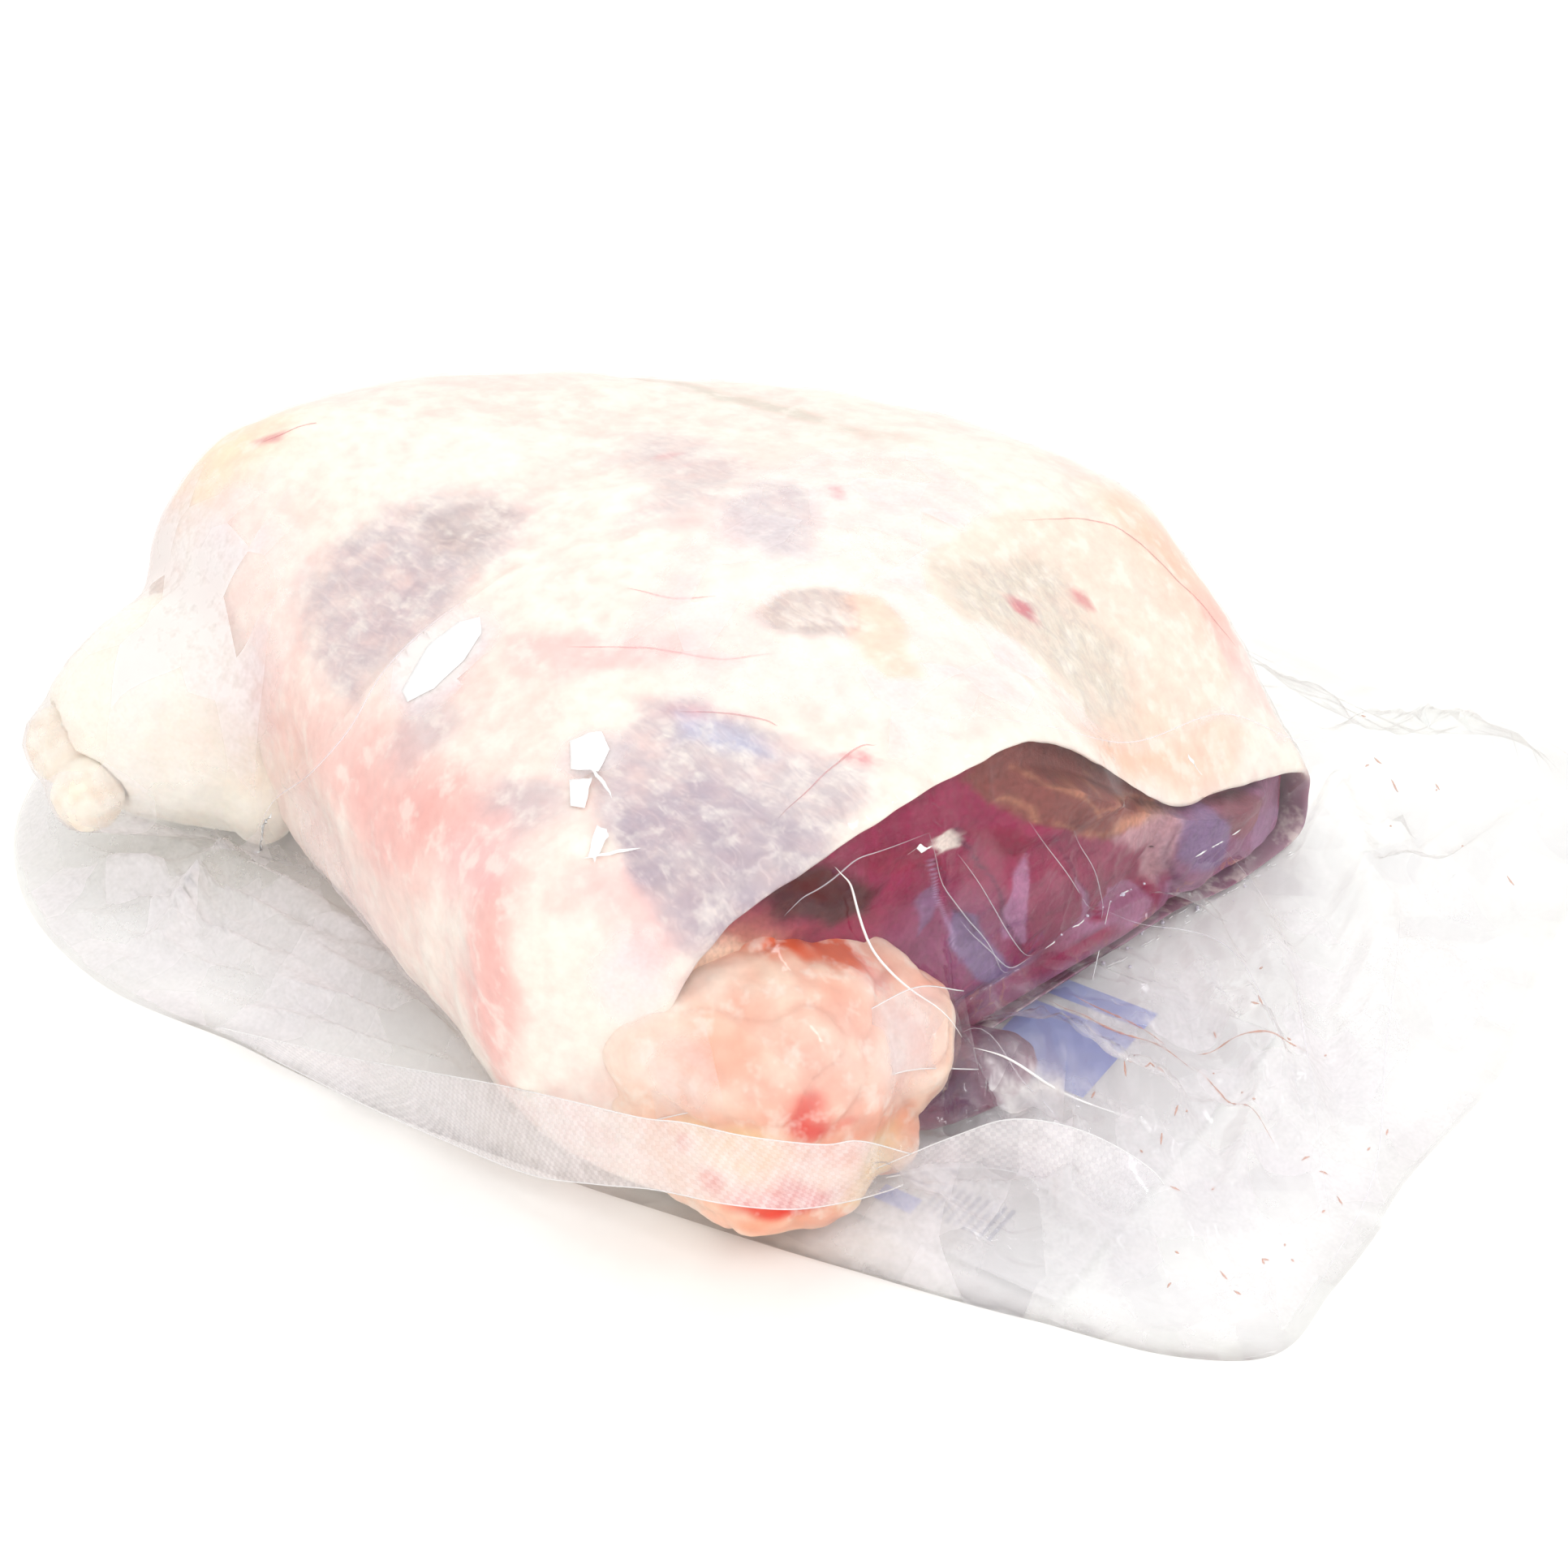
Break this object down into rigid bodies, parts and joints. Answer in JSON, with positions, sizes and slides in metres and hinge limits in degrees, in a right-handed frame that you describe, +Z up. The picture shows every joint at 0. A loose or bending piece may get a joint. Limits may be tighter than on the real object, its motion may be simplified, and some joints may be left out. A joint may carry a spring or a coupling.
{
  "type": "vacuum packed bone-in leg of lamb",
  "caption": "Raw bone-in leg of lamb with its fat cover, dark cut face and folded shank, vacuum packed in a clear bag with a loose wavy margin.",
  "frame": {"origin": "middle of the whole pack's box, on the surface that it lies on", "axes": "+X along the leg from the folded shank to the cut face, +Y away from the side that the shank is folded onto, +Z up"},
  "size_m": [0.4, 0.3406, 0.0994],
  "materials": {
    "fat": "moist cream fat and thin silvery membrane",
    "lean": "moist dark red lean meat with fine grain",
    "pocket_fat": "moist cream to orange lumps of soft fat",
    "lower_lean": "moist dark purple lean meat",
    "shank": "moist pale yellow tendon and fat",
    "bone": "smooth off-white bone and gristle",
    "paper": "matt white paper with blue and grey colour fields",
    "film": "clear glossy film, embossed along its seam"
  },
  "bodies": {
    "root": {"fat_cover": "fat", "lean_meat": "lean", "pocket_fat": "pocket_fat", "lower_muscle": "lower_lean", "shank": "shank", "shank_bone": "bone", "label": "paper", "bag": "film"}
  },
  "joints": []
}
